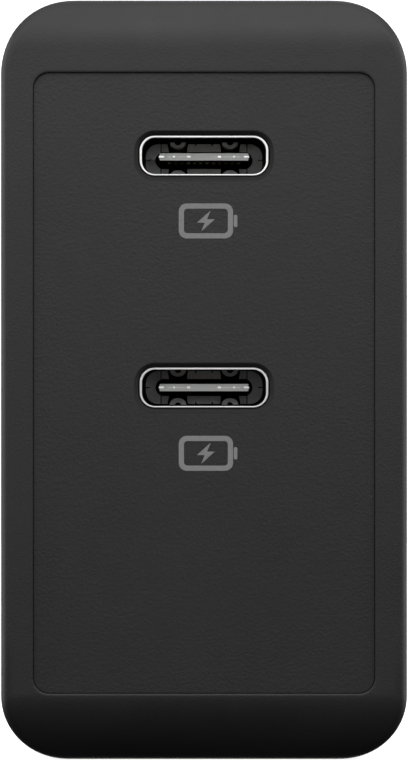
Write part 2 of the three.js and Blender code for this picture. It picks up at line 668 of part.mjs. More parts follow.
function addMainBoard() {
  const outline = roundedRectangle(mainBoard.front, mainBoard.back,
    -mainBoard.halfHeight, mainBoard.halfHeight, 1);
  const board = alongX(outline, boardFace - mainBoard.thickness, boardFace, 3);
  piece('main_board', cut(board, ...boardHoles), materials.board);
}

function addPortBoard() {
  const { front: face, thickness } = portBoard;
  const back = face + thickness;
  const half = portBoard.width / 2;
  const slotX = port.shellWall / 2 + portBoard.slotGap;
  const slotZ = port.legWidth / 2 + portBoard.slotGap;
  const legSlots = Object.values(port.heights).flatMap((height) => shellLegs.map(([x, z]) => box(
    x - slotX, x + slotX, face - 1, back + 1, height + z - slotZ, height + z + slotZ)));
  const outline = roundedRectangle(-half, half, portBoard.bottom, portBoard.top, 1);
  piece('port_board', cut(alongY(outline, face, back, 3), ...legSlots), materials.board);

  const coil = { half: 3.2, height: 4.05, x: 4.2, z: 7.5, corner: 0.8 };
  Object.entries(port.heights).forEach(([name, z], index) => {
    piece(`${name}_port_controller`, box(3, 8, back + 0.05, back + 0.95, z - 2.5, z + 2.5),
      materials.chip);
    const x = index === 0 ? -coil.x : coil.x;
    const square = roundedRectangle(x - coil.half, x + coil.half,
      coil.z - coil.half, coil.z + coil.half, coil.corner);
    piece(`${name}_port_inductor`, alongY(square, face - 0.05 - coil.height, face - 0.05, 3),
      materials.ferrite);
  });
  piece('board_link', join(standing(2.5, back + 0.1, back + 2.7, 3, 7.8),
    ...pins([back + 1.4, 4], [back + 1.4, 6.6])), materials.chip);
}

// A film sleeve round the electronics, open over the inlet, and the heat spreader within it.
function addLining(transformerTop) {
  const film = { inset: body.wall + 0.1, thickness: 0.2, front: -36.6, back: -9.6, openFrom: 18 };
  const open = box(-halfWidth, halfWidth, -body.depth, 0, film.openFrom, halfHeight);
  piece('insulation_wrap', cut(
    alongY(insideOutline(film.inset), film.front, film.back, 3),
    alongY(insideOutline(film.inset + film.thickness), film.front - 1, film.back + 1, 3),
    open), materials.insulation);

  const plate = { thickness: 0.8, gap: 0.3 };
  const plateX = halfWidth - film.inset - film.thickness - plate.gap - plate.thickness;
  piece('heat_spreader', alongX(roundedRectangle(-36, -12, -21, 15, 1.5), plateX,
    plateX + plate.thickness, 3), materials.aluminium);
  const contact = 0.06;
  piece('thermal_pad', alongX(roundedRectangle(-34, -22.4, -11.4, -1.2, 0.6),
    transformerTop + contact, plateX - contact, 3), materials.thermal);
}

// ---------------------------------------------------------------- assembly
const form = outerForm();
piece('housing_sleeve', housingSleeve(form), materials.housing);
piece('front_panel', frontPanel(), materials.panel);
piece('rear_cover', rearCover(form), materials.housing);
for (const [name, height] of Object.entries(port.heights)) addPort(name, height);

piece('plug_carrier', plugCarrier(), materials.housing);
for (const [name, side] of [['left', -1], ['right', 1]]) {
  piece(`blade_${name}`, plugBlade(side * bladeX), materials.blade);
  piece(`pivot_clamp_${name}`, pivotClamp(side), materials.portPlastic);
  piece(`clamp_screw_${name}`, clampScrew(side), materials.steel);
  piece(`contact_spring_${name}`, contactSpring(side), materials.spring);
  piece(`lead_wire_${name}`, leadWire(side), materials.wire);
}
piece('detent_spring', detentSpring(), materials.spring);

addInlet();
const transformerTop = addTransformer();
addOutput();
addBoardBack();
addPortBoard();
addMainBoard();
addLining(transformerTop);

export default charger;
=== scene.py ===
import json
import math

import bmesh
import bpy
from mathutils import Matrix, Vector


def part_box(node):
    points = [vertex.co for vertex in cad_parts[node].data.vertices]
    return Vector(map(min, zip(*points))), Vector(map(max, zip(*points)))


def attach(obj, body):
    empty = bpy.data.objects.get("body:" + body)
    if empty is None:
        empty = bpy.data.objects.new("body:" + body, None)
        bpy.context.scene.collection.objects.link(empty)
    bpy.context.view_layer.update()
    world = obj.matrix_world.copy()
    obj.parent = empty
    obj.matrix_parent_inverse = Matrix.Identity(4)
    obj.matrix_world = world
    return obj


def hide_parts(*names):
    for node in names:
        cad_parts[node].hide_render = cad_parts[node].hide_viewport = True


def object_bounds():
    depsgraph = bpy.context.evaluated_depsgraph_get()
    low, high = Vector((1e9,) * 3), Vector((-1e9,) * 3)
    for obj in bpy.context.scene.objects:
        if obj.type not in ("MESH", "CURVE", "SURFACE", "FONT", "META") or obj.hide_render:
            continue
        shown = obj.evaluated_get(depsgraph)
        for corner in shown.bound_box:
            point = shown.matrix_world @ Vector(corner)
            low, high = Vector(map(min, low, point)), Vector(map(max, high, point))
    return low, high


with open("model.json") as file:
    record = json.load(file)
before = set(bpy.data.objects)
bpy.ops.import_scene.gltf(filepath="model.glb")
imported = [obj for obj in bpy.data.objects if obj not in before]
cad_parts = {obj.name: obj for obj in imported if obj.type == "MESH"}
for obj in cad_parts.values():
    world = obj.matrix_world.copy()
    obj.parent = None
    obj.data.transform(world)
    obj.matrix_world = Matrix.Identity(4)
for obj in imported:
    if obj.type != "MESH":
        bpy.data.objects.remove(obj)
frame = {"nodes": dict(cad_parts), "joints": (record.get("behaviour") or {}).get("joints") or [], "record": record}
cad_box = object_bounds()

# A wall charger with two stacked USB-C ports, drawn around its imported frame. The ports face -Y,
# the wall face is at y = 0 and +Z is up. Blender works in metres; sizes here are millimetres
# times MM.
MM = 0.001
FIXED, MOVING = "charger", "plug"

# ---------------------------------------- sizes taken from the frame
sleeve_low, sleeve_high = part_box("housing_sleeve")
panel_low, panel_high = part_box("front_panel")
HALF_WIDTH = sleeve_high.x
HALF_HEIGHT = sleeve_high.z
FRONT = sleeve_low.y
PANEL_FACE = panel_low.y
PANEL_BACK = panel_high.y
SLEEVE_REAR = sleeve_high.y
PIVOT = Vector(frame["joints"][0]["pos_m"])
PORTS = ("upper", "lower")

# ---------------------------------------- sizes of the visible detail
TOP_CORNER, LOW_CORNER = 5.38 * MM, 4.7 * MM  # of the body seen from the front
WALL = 1.9 * MM
# The front face rolls back at the top and the bottom: how high and how deep, and how squarely.
ROLL_TOP = {"height": 3.7 * MM, "depth": 3.5 * MM, "power": 2.4}
ROLL_BOTTOM = {"height": 4.88 * MM, "depth": 3.4 * MM, "power": 1.65}
ROLL_SIDE = 0.62 * MM
OPENING = {"half_x": 11.775 * MM, "half_z": 21.38 * MM, "corner": 1.12 * MM, "z": -0.21 * MM}
OPENING_EDGE = {"width": 0.16 * MM, "depth": 0.025 * MM}
BEZEL_BACK = FRONT + 2.0 * MM
SEAM_EDGE = 0.1 * MM
COVER_EDGE = 1.2 * MM
PANEL_GAP = 0.01 * MM
PANEL_EDGE = 0.03 * MM
FLANGE = {"front": FRONT + 2.06 * MM, "corner": 2 * MM}
# The countersunk rim round each port, from the steel shell outwards.
MOUTH = {"border": 0.235 * MM, "gap": 0.05 * MM, "depth": 0.26 * MM, "edge": 0.05 * MM,
         "turn": 0.02 * MM}
PORT_DROP = Vector((0, 0, -0.028 * MM))  # the ports stand this much lower than in the frame


# ---------------------------------------- outlines and meshes
TO_FRONT, TO_REAR = (0, -1, 0), (0, 1, 0)


def on_front(u, v, depth):
    return Vector((u, depth, v))


def on_side(u, v, depth):
    return Vector((depth, u, v))


def on_floor(u, v, depth):
    return Vector((u, v, depth))


class Outline:
    """A closed line in two dimensions: points with outward normals, anticlockwise."""

    def __init__(self, points):
        self.points = points

    def ring(self, depth, inset=0.0, place=on_front):
        """The points at that depth, moved in by inset, which may differ from point to point."""
        insets = inset if isinstance(inset, list) else [inset] * len(self.points)
        return [place(u - nu * i, v - nv * i, depth)
                for (u, v, nu, nv), i in zip(self.points, insets)]


def rounded_rectangle(half_u, half_v, corner, corner_steps=12, side_steps=6, u=0.0, v=0.0,
                      low_corner=None):
    """A rectangle about (u, v); low_corner is the radius of the two lower corners if it differs."""
    centres = [(1, -1, -90), (1, 1, 0), (-1, 1, 90), (-1, -1, 180)]
    arcs = []
    for sign_u, sign_v, start in centres:
        radius = corner if low_corner is None or sign_v > 0 else low_corner
        cu, cv = sign_u * (half_u - radius), sign_v * (half_v - radius)
        arc = []
        for step in range(corner_steps + 1):
            angle = math.radians(start + 90 * step / corner_steps)
            nu, nv = math.cos(angle), math.sin(angle)
            arc.append((u + cu + radius * nu, v + cv + radius * nv, nu, nv))
        arcs.append(arc)
    points = []
    for index, arc in enumerate(arcs):
        points += arc
        (u0, v0, nu, nv), (u1, v1, _, _) = arc[-1], arcs[(index + 1) % 4][0]
        for step in range(1, side_steps):
            t = step / side_steps
            points.append((u0 + (u1 - u0) * t, v0 + (v1 - v0) * t, nu, nv))
    return Outline(points)


def circle(radius, steps=48, u=0.0, v=0.0):
    turns = [2 * math.pi * step / steps for step in range(steps)]
    return Outline([
        (u + radius * math.cos(a), v + radius * math.sin(a), math.cos(a), math.sin(a))
        for a in turns
    ])


CUT_SHARE = 0.45  # of a side, the most that the rounding of a corner takes
MITRE_LIMIT = 0.3


def polygon(corners, rounding=0.0, steps=4):
    """An outline through the corners, each rounded off; normals bisect the sides."""
    points, count = [], len(corners)
    for index, corner in enumerate(corners):
        here = Vector(corner)
        to_last = Vector(corners[index - 1]) - here
        to_next = Vector(corners[(index + 1) % count]) - here
        cut = min(rounding, to_last.length * CUT_SHARE, to_next.length * CUT_SHARE)
        start, end = here + to_last.normalized() * cut, here + to_next.normalized() * cut
        normal_in = Vector((-to_last.y, to_last.x)).normalized()
        normal_out = Vector((to_next.y, -to_next.x)).normalized()
        if rounding == 0:
            normal = (normal_in + normal_out).normalized()
            scale = 1 / max(MITRE_LIMIT, normal.dot(normal_out))
            points.append((here.x, here.y, normal.x * scale, normal.y * scale))
            continue
        for step in range(steps + 1):
            t = step / steps
            spot = start.lerp(here, t).lerp(here.lerp(end, t), t)
            normal = normal_in.lerp(normal_out, t).normalized()
            points.append((spot.x, spot.y, normal.x, normal.y))
    return Outline(points)


SUPPORT = 0.06 * MM  # from a rounded edge to the loop that holds the flat face beside it


def edge_rings(outline, depth, direction, radius, into=1, steps=4, place=on_front,
               margin=SUPPORT):
    """Rings of a rounded edge, from the face at that depth round to the wall behind it."""
    rings = [outline.ring(depth, into * (radius + margin), place)]
    for step in range(steps + 1):
        angle = math.radians(90 * step / steps)
        inset = into * radius * (1 - math.sin(angle))
        rings.append(outline.ring(depth + direction * radius * (1 - math.cos(angle)), inset, place))
    return rings


MERGE = 1e-8
TINY = 1e-6  # a rounding too small to see, where a shape needs one


class Build:
    """Collects lofts and fills, then makes one mesh object."""

    def __init__(self):
        self.mesh = bmesh.new()

    def loop(self, ring):
        return [self.mesh.verts.new(point) for point in ring]

    def skin(self, loops, material=0):
        for near, far in zip(loops, loops[1:]):
            count = len(near)
            for i in range(count):
                j = (i + 1) % count
                face = self.mesh.faces.new((near[i], near[j], far[j], far[i]))
                face.material_index = material

    def loft(self, rings, material=0):
        loops = [self.loop(ring) for ring in rings]
        self.skin(loops, material)
        return loops

    def solid(self, rings):
        """A loft closed by a flat face at each end."""
        loops = self.loft(rings)
        for loop in (loops[0], loops[-1]):
            self.mesh.faces.new(loop)

    def fill(self, loops, normal):
        """A flat face between one outer loop and any loops inside it."""
        edges = []
        for loop in loops:
            for a, b in zip(loop, loop[1:] + loop[:1]):
                edges.append(self.mesh.edges.get((a, b)) or self.mesh.edges.new((a, b)))
        bmesh.ops.triangle_fill(self.mesh, use_beauty=True, edges=edges, normal=normal)

    def plate(self, outer, holes, near, far, edge, steps=4, margin=SUPPORT):
        """A flat plate with rounded edges on its near face and square ones on its far face."""
        near_loops, far_loops = [], []
        for outline, into in [(outer, 1)] + [(hole, -1) for hole in holes]:
            rings = edge_rings(outline, near, 1, edge, into, steps, margin=margin)
            loops = self.loft(rings + [outline.ring(far)])
            near_loops.append(loops[0])
            far_loops.append(loops[-1])
        self.fill(near_loops, TO_FRONT)
        self.fill(far_loops, TO_FRONT)

    def finish(self, name="scratch"):
        bmesh.ops.remove_doubles(self.mesh, verts=self.mesh.verts, dist=MERGE)
        bmesh.ops.recalc_face_normals(self.mesh, faces=self.mesh.faces)
        data = bpy.data.meshes.new(name)
        self.mesh.to_mesh(data)
        self.mesh.free()
        shade(data, 32)
        obj = bpy.data.objects.new(name, data)
        bpy.context.scene.collection.objects.link(obj)
        return obj


def shade(data, sharp):
    """Smooth shading that breaks at edges sharper than that many degrees."""
    data.polygons.foreach_set("use_smooth", [True] * len(data.polygons))
    data.set_sharp_from_angle(angle=math.radians(sharp))


def block(low, high, rounding=0.0):
    """A box as a scratch object for cutting, its edges along Y rounded if asked."""
    low, high = Vector(low), Vector(high)
    middle, half = (low + high) / 2, (high - low) / 2
    outline = rounded_rectangle(half.x, half.z, max(rounding, TINY), 6, 2, middle.x, middle.z)
    build = Build()
    build.solid([outline.ring(low.y), outline.ring(high.y)])
    return build.finish()


def barrel(centre, radius, x0, x1, edge=0.0, steps=64):
    """A round bar along X as a scratch object."""
    outline = circle(radius, steps, centre.y, centre.z)
    rings = edge_rings(outline, x0, 1, max(edge, TINY), place=on_side)[1:]
    rings += edge_rings(outline, x1, -1, max(edge, TINY), place=on_side)[:0:-1]
    build = Build()
    build.solid(rings)
    return build.finish()


def combine(base, others, operation):
    """Joins the other objects to the base, or cuts them out of it, and removes them."""
    for other in others:
        modifier = base.modifiers.new("combine", "BOOLEAN")
        modifier.operation, modifier.solver, modifier.object = operation, "EXACT", other
        bake(base)
        bpy.data.objects.remove(other)


def bake(obj):
    """Puts the result of the modifiers into the mesh."""
    graph = bpy.context.evaluated_depsgraph_get()
    data = bpy.data.meshes.new_from_object(obj.evaluated_get(graph))
    obj.modifiers.clear()
    obj.data = data


def soften(obj, width, segments=3, angle=30):
    """Rounds every sharp edge and keeps the flat faces flat."""
    bevel = obj.modifiers.new("soften", "BEVEL")
    bevel.width, bevel.segments = width, segments
    bevel.limit_method, bevel.angle_limit = "ANGLE", math.radians(angle)
    bevel.use_clamp_overlap = True
    bevel.miter_outer = "MITER_ARC"
    weighted = obj.modifiers.new("weighted", "WEIGHTED_NORMAL")
    weighted.keep_sharp = True
    bake(obj)


def settle(obj, name, materials, body, slot, *nodes, sharp=40):
    """Names a piece, gives it its materials and puts it on its body in place of the CAD nodes."""
    obj.name = obj.data.name = name
    for key in materials:
        obj.data.materials.append(MATERIALS[key])
    shade(obj.data, sharp)
    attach(obj, body)
    if nodes:
        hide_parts(*nodes)


# ---------------------------------------- materials
def set_stops(ramp, stops):
    """Gives a colour ramp its stops, each a position and a colour."""
    elements = ramp.color_ramp.elements
    while len(elements) < len(stops):
        elements.new(0.5)
    for element, (position, colour) in zip(elements, stops):
        element.position = position
        element.color = (*colour, 1)


class Graph:
    """A material's nodes, built by name."""

    def __init__(self, name):
        self.material = bpy.data.materials.new(name)
        self.material.use_nodes = True
        self.nodes = self.material.node_tree.nodes
        self.links = self.material.node_tree.links
        self.shader = self.nodes["Principled BSDF"]
        self.place = self.nodes.new("ShaderNodeTexCoord").outputs["Object"]

    def add(self, kind, links=None, **values):
        node = self.nodes.new(kind)
        for key, value in values.items():
            if key in node.inputs:
                node.inputs[key].default_value = value
            else:
                setattr(node, key, value)
        for key, source in (links or {}).items():
            self.links.new(source, node.inputs[key])
        return node

    def stretched(self, scale):
        return self.add("ShaderNodeMapping", {"Vector": self.place}, Scale=scale).outputs["Vector"]

    def noise(self, size, detail=3.0, roughness=0.55, place=None, distortion=0.0):
        node = self.add("ShaderNodeTexNoise", {"Vector": place or self.place}, Scale=1 / size,
                        Detail=detail, Roughness=roughness, Distortion=distortion)
        return node.outputs["Fac"]

    def ramp(self, source, stops):
        node = self.add("ShaderNodeValToRGB", {"Fac": source})
        set_stops(node, stops)
        return node.outputs["Color"]

    def spread(self, source, low, high):
        """Maps the range where noise has most of its values to low and high."""
        node = self.add("ShaderNodeMapRange", {"Value": source})
        limits = {"From Min": 0.3, "From Max": 0.7, "To Min": low, "To Max": high}
        for key, value in limits.items():
            node.inputs[key].default_value = value
        return node.outputs["Result"]

    def bump(self, height, distance, strength, before=None):
        links = {"Height": height}
        if before is not None:
            links["Normal"] = before
        node = self.add("ShaderNodeBump", links, Distance=distance, Strength=strength)
        return node.outputs["Normal"]

    def surface(self, **values):
        for key, value in values.items():
            socket = self.shader.inputs[key.replace("_", " ")]
            if hasattr(value, "is_output"):
                self.links.new(value, socket)
            else:
                socket.default_value = value
        return self.material


def tinted(colour, factor):
    return tuple(channel * factor for channel in colour)


def moulded_plastic(name, colour, roughness, grain, depth, specular=0.3, mottle=0.16, ior=1.5):
    """Spark-textured moulded plastic: fine pits, a soft mottle and faint handling marks."""
    graph = Graph(name)
    pits = graph.noise(grain, 2.0, 0.6)
    cells = graph.add("ShaderNodeTexVoronoi", {"Vector": graph.place}, Scale=0.62 / grain,
                      Randomness=1.0).outputs["Distance"]
    patches = graph.noise(grain * 14, 4.0, 0.6)
    handling = graph.noise(9 * MM, 5.0, 0.62, distortion=0.6)
    total = graph.add("ShaderNodeMath", {0: pits, 1: patches}, operation="ADD").outputs[0]
    mean = graph.add("ShaderNodeMath", {0: total}, operation="MULTIPLY")
    mean.inputs[1].default_value = 0.5
    colour_out = graph.ramp(mean.outputs[0], [
        (0.36, tinted(colour, 1 - mottle)), (0.5, colour), (0.64, tinted(colour, 1 + mottle)),
    ])
    normal = graph.bump(cells, depth, 0.7, graph.bump(pits, depth, 0.9))
    return graph.surface(
        Base_Color=colour_out, Specular_IOR_Level=specular, IOR=ior, Normal=normal,
        Roughness=graph.spread(handling, roughness - 0.05, roughness + 0.06),
    )


def drawn_metal(name, colour, roughness, direction, scratch=0.05 * MM, depth=0.002 * MM):
    """Stamped or drawn metal: long fine scratches along one direction and a slight stain."""
    graph = Graph(name)
    lines = graph.noise(scratch, 3.0, 0.7, graph.stretched(direction))
    stain = graph.noise(2.2 * MM, 4.0, 0.6)
    return graph.surface(
        Base_Color=graph.ramp(stain, [(0.3, tinted(colour, 0.86)), (0.62, colour)]),
        Metallic=1.0, Normal=graph.bump(lines, depth, 0.5),
        Roughness=graph.spread(lines, roughness - 0.06, roughness + 0.1),
    )


def printed_ink(name, colour):
    """Pad-printed ink with a slightly uneven film."""
    graph = Graph(name)
    film = graph.noise(0.12 * MM, 3.0, 0.6)
    return graph.surface(
        Base_Color=graph.ramp(film, [(0.3, tinted(colour, 0.9)), (0.7, tinted(colour, 1.06))]),
        Roughness=graph.spread(film, 0.5, 0.68), Specular_IOR_Level=0.25,
        Normal=graph.bump(film, 0.004 * MM, 0.6),
    )


def circuit_board(name):
    """Green solder mask over copper tracks, with the weave of the laminate below."""
    graph = Graph(name)
    tracks = graph.add("ShaderNodeTexBrick", {"Vector": graph.place}, Scale=420.0, offset=0.35)
    for key, value in (("Mortar Size", 0.07), ("Brick Width", 0.9), ("Row Height", 0.34)):
        tracks.inputs[key].default_value = value
    weave = graph.add("ShaderNodeTexWave", {"Vector": graph.place}, Scale=900.0, Distortion=0.4)
    tone = graph.noise(3 * MM, 3.0)
    mask = graph.add("ShaderNodeMix", {"Factor": tracks.outputs["Fac"]}, data_type="RGBA")
    bare = [(0.3, (0.008, 0.05, 0.018)), (0.7, (0.012, 0.07, 0.026))]
    tracked = [(0.3, (0.02, 0.13, 0.05)), (0.7, (0.03, 0.16, 0.06))]
    graph.links.new(graph.ramp(tone, bare), mask.inputs["A"])
    graph.links.new(graph.ramp(tone, tracked), mask.inputs["B"])
    raised = graph.bump(tracks.outputs["Fac"], 0.03 * MM, 0.8,
                        graph.bump(weave.outputs["Fac"], 0.004 * MM, 0.4))
    return graph.surface(Base_Color=mask.outputs["Result"], Normal=raised,
                         Roughness=graph.spread(tone, 0.28, 0.4))


def wound(name, colour, gap_colour, pitch, metallic):
    """Turns of wire or tape, side by side along X."""
    graph = Graph(name)
    turns = graph.add("ShaderNodeTexWave", {"Vector": graph.place}, Scale=0.05 / pitch,
                      Distortion=0.3, wave_type="BANDS", bands_direction="X")
    tone = graph.noise(1.5 * MM, 3.0)
    colour_out = graph.ramp(turns.outputs["Fac"], [(0.05, gap_colour), (0.4, colour)])
    return graph.surface(Base_Color=colour_out, Metallic=metallic,
                         Normal=graph.bump(turns.outputs["Fac"], 0.06 * MM, 0.8),
                         Roughness=graph.spread(tone, 0.25, 0.45))


def speckled(name, colour, roughness, grain, depth, metallic=0.0, contrast=0.3):
    """A grainy solid such as ferrite, a soft pad, paper or an epoxy coat."""
    graph = Graph(name)
    grains = graph.noise(grain, 5.0, 0.65)
    clouds = graph.noise(grain * 12, 3.0)
    return graph.surface(
        Base_Color=graph.ramp(grains, [(0.32, tinted(colour, 1 - contrast)),
                                       (0.68, tinted(colour, 1 + contrast))]),
        Metallic=metallic, Specular_IOR_Level=0.4, Normal=graph.bump(grains, depth, 0.7),
        Roughness=graph.spread(clouds, roughness - 0.06, roughness + 0.08),
    )


HOUSING_BLACK = (0.0045, 0.0045, 0.0046)
# By the record's material slots, and the few that only the visible detail needs.
MATERIALS = {
    "housing": moulded_plastic("housing_black", HOUSING_BLACK, 0.46, 0.11 * MM, 0.008 * MM, 0.5),
    "rear_housing": moulded_plastic("rear_black", HOUSING_BLACK, 0.46, 0.11 * MM, 0.008 * MM, 0.5),
    "panel": moulded_plastic("panel_black", HOUSING_BLACK, 0.46, 0.14 * MM, 0.012 * MM, 0.5, 0.24),
    "mouth": moulded_plastic("mouth_black", HOUSING_BLACK, 0.6, 0.1 * MM, 0.006 * MM, 0.36),
    "carrier_plastic": moulded_plastic("carrier_black", (0.013, 0.013, 0.0135), 0.42, 0.1 * MM,
                                       0.005 * MM, 0.35),
    "port_plastic": moulded_plastic("port_wall_grey", (0.6, 0.6, 0.6), 0.6, 0.06 * MM,
                                    0.004 * MM, 0.2),
    # Black with almost no reflection. It also lines the inside of each steel shell as painted shade, in place of
    # the shadowed steel there.
    "port_dark": moulded_plastic("port_black_and_painted_shade", (0.0035, 0.0035, 0.0036), 0.8, 0.06 * MM,
                                 0.004 * MM, 0.02, ior=1.0),
    "tongue": moulded_plastic("tongue_grey", (0.4, 0.405, 0.4), 0.45, 0.05 * MM, 0.003 * MM, 0.4,
                              0.07),
    "port_steel": drawn_metal("port_bright_steel", (0.93, 0.93, 0.92), 0.3, (1, 30, 1)),
    "mid_plate_steel": drawn_metal("mid_plate_bright", (0.95, 0.95, 0.95), 0.32, (1, 12, 1)),
    "contact_gold": drawn_metal("contact_gold", (0.85, 0.6, 0.24), 0.28, (1, 20, 1)),
    "blade_nickel": drawn_metal("blade_nickel", (0.74, 0.71, 0.65), 0.27, (14, 1, 14), 0.08 * MM,
                                0.003 * MM),
    "screw_steel": drawn_metal("screw_zinc", (0.6, 0.61, 0.62), 0.34, (1, 8, 1)),
    "spring_bronze": drawn_metal("spring_bronze", (0.62, 0.38, 0.18), 0.3, (1, 1, 16)),
    "spreader_aluminium": drawn_metal("spreader_aluminium", (0.66, 0.67, 0.69), 0.38, (1, 1, 18)),
    "capacitor_can": drawn_metal("capacitor_can", (0.72, 0.72, 0.74), 0.3, (14, 1, 1)),
    "print_grey": printed_ink("print_grey", (0.205, 0.205, 0.205)),
    "board_green": circuit_board("board_green"),
    "winding_copper": wound("winding_copper", (0.6, 0.22, 0.07), (0.1, 0.03, 0.01), 0.5 * MM, 0.8),
    "winding_tape": wound("winding_tape", (0.66, 0.45, 0.04), (0.42, 0.27, 0.02), 1.6 * MM, 0.0),
    "inner_plastic": moulded_plastic("inner_black", (0.02, 0.02, 0.021), 0.5, 0.12 * MM,
                                     0.006 * MM),
    "chip_black": speckled("chip_black", (0.012, 0.012, 0.013), 0.5, 0.05 * MM, 0.003 * MM),
    "white_plastic": speckled("white_package", (0.62, 0.62, 0.58), 0.5, 0.07 * MM, 0.004 * MM,
                              contrast=0.06),
    "film_box": speckled("film_box", (0.5, 0.31, 0.02), 0.35, 0.3 * MM, 0.006 * MM, contrast=0.12),
    "ceramic_blue": speckled("ceramic_blue", (0.02, 0.09, 0.3), 0.3, 0.4 * MM, 0.02 * MM,
                             contrast=0.15),
    "ferrite": speckled("ferrite", (0.028, 0.028, 0.031), 0.45, 0.06 * MM, 0.006 * MM, 0.3, 0.4),
    "thermal_rubber": speckled("thermal_pad", (0.25, 0.31, 0.38), 0.75, 0.2 * MM, 0.02 * MM,
                               contrast=0.12),
    "insulation_paper": speckled("insulation_film", (0.68, 0.65, 0.54), 0.5, 0.5 * MM, 0.01 * MM,
                                 contrast=0.06),
    "fuse_body": speckled("fuse_sleeve", (0.2, 0.11, 0.05), 0.35, 0.3 * MM, 0.01 * MM,
                          contrast=0.15),
    "capacitor_sleeve": speckled("capacitor_sleeve", (0.018, 0.02, 0.028), 0.3, 0.5 * MM,
                                 0.01 * MM, contrast=0.15),
    "wire_sleeve": speckled("wire_sleeve", (0.025, 0.026, 0.03), 0.42, 0.2 * MM, 0.008 * MM,
                            contrast=0.12),
}


# ---------------------------------------- camera, floor and light
CAMERA_DISTANCE = 240 * MM  # from the front face
CAMERA_LENS = 165.3

# Brightness of the dome from its dark pole, -1, to its bright one, 1, which tilts to the front.
DOME_TILT = 22
DOME_STRENGTH = 2.0
DOME = [(-1.0, 0.008), (-0.5, 0.03), (0.0, 0.09), (0.38, 0.17), (0.7, 0.42), (1.0, 0.9)]

# Name, place, target, size and radiance of each area light.
LIGHTS = [
    ("front", (0, -0.2, 0.115), (0, 0, 0.115), (0.5, 0.2), 0.92),
    ("left", (-0.25, -0.02, 0.03), (0, -0.03, 0), (0.28, 0.3), 1.6),
    ("right", (0.25, -0.02, 0.03), (0, -0.03, 0), (0.28, 0.3), 1.6),
    ("back", (0, 0.28, 0), (0, 0, 0), (0.4, 0.36), 0.9),
]

# Radius and height of the floor's sweep, then of its edge and its underside.
FLOOR_RADIUS = 1.6
FLOOR_SWEEP = [(1.2, 0.0), (1.32, 0.012), (1.43, 0.05), (1.52, 0.13), (1.57, 0.25), (1.58, 0.6),
               (1.6, 0.6), (1.6, -2 * MM), (1.2, -2 * MM)]


def add_camera():
    data = bpy.data.cameras.new("camera")
    data.lens, data.sensor_width = CAMERA_LENS, 36
    data.clip_start, data.clip_end = 1 * MM, 20
    camera = bpy.data.objects.new("camera", data)
    camera.location = (0, FRONT - CAMERA_DISTANCE, 0)
    camera.rotation_euler = (math.radians(90), 0, 0)
    bpy.context.scene.collection.objects.link(camera)
    bpy.context.scene.camera = camera


def area_light(name, place, target, size, radiance):
    data = bpy.data.lights.new(name, "AREA")
    data.shape, data.size, data.size_y = "RECTANGLE", size[0], size[1]
    data.energy = radiance * math.pi * size[0] * size[1]
    light = bpy.data.objects.new(name, data)
    light.location = place
    light.rotation_euler = (Vector(target) - Vector(place)).to_track_quat("-Z", "Y").to_euler()
    light.visible_camera = False
    bpy.context.scene.collection.objects.link(light)


def add_world():
    """A dome that is brightest above the front and dark behind and below."""
    world = bpy.data.worlds.new("studio")
    bpy.context.scene.world = world
    world.use_nodes = True
    nodes, links = world.node_tree.nodes, world.node_tree.links
    place = nodes.new("ShaderNodeTexCoord").outputs["Generated"]
    dot = nodes.new("ShaderNodeVectorMath")
    dot.operation = "DOT_PRODUCT"
    tilt = math.radians(DOME_TILT)
    dot.inputs[1].default_value = (0, -math.sin(tilt), math.cos(tilt))
    height = nodes.new("ShaderNodeMapRange")
    height.inputs["From Min"].default_value = -1
    ramp = nodes.new("ShaderNodeValToRGB")
    set_stops(ramp, [((level + 1) / 2, (strength,) * 3) for level, strength in DOME])
    background = nodes["Background"]
    background.inputs["Strength"].default_value = DOME_STRENGTH
    links.new(place, dot.inputs[0])
    links.new(dot.outputs["Value"], height.inputs["Value"])
    links.new(height.outputs["Result"], ramp.inputs["Fac"])
    links.new(ramp.outputs["Color"], background.inputs["Color"])


def add_floor():
    """A pale floor that sweeps up all round, far from the charger."""
    outline, level = circle(FLOOR_RADIUS, 96), cad_box[0][2]
    build = Build()
    build.solid([outline.ring(level + height, FLOOR_RADIUS - radius, on_floor)
                 for radius, height in FLOOR_SWEEP])
    floor = build.finish("floor")
    graph = Graph("floor_pale")
    tone = graph.noise(0.4, 2.0)
    colour = graph.ramp(tone, [(0.3, (0.86, 0.86, 0.86)), (0.7, (0.9, 0.9, 0.9))])
    floor.data.materials.append(graph.surface(
        Base_Color=colour, Roughness=0.75, Specular_IOR_Level=0.2, Emission_Color=colour,
        Emission_Strength=0.95))
    # The floor's own light stays off the charger, so that its underside is as dark as on a desk.
    floor.visible_diffuse = floor.visible_glossy = floor.visible_shadow = False


def add_studio():
    bpy.context.scene.view_settings.view_transform = "Standard"
    add_world()
    for light in LIGHTS:
        area_light(*light)
    add_floor()


# ---------------------------------------- housing
EDGE_RUN = 0.3 * MM
EDGE_STEPS, FACE_STEPS, LIP_STEPS = 7, 16, 5
FACE_CROWDING = 1.3  # above 1, the rings of the front face crowd towards its outer edge
BODY_STEPS = (20, 10)  # points on each corner and on each side of the body's outlines
PANEL_STEPS = (12, 4)


def rolled_back(z):
    """How far the front face has rolled back at that height."""
    roll = ROLL_TOP if z > 0 else ROLL_BOTTOM
    reach = 1 - (HALF_HEIGHT - abs(z)) / roll["height"]
    reach = min(max(reach, 0.0), 1.0)
    return roll["depth"] * (1 - (1 - reach ** roll["power"]) ** (1 / roll["power"]))


def body_outline(inset=0.0):
    """The body seen from the front; its corners are rounder at the top."""
    return rounded_rectangle(HALF_WIDTH - inset, HALF_HEIGHT - inset, TOP_CORNER - inset,
                             *BODY_STEPS, low_corner=LOW_CORNER - inset)


def opening_outline(inset, steps):
    return rounded_rectangle(OPENING["half_x"] - inset, OPENING["half_z"] - inset,
                             OPENING["corner"] - inset, *steps, v=OPENING["z"])


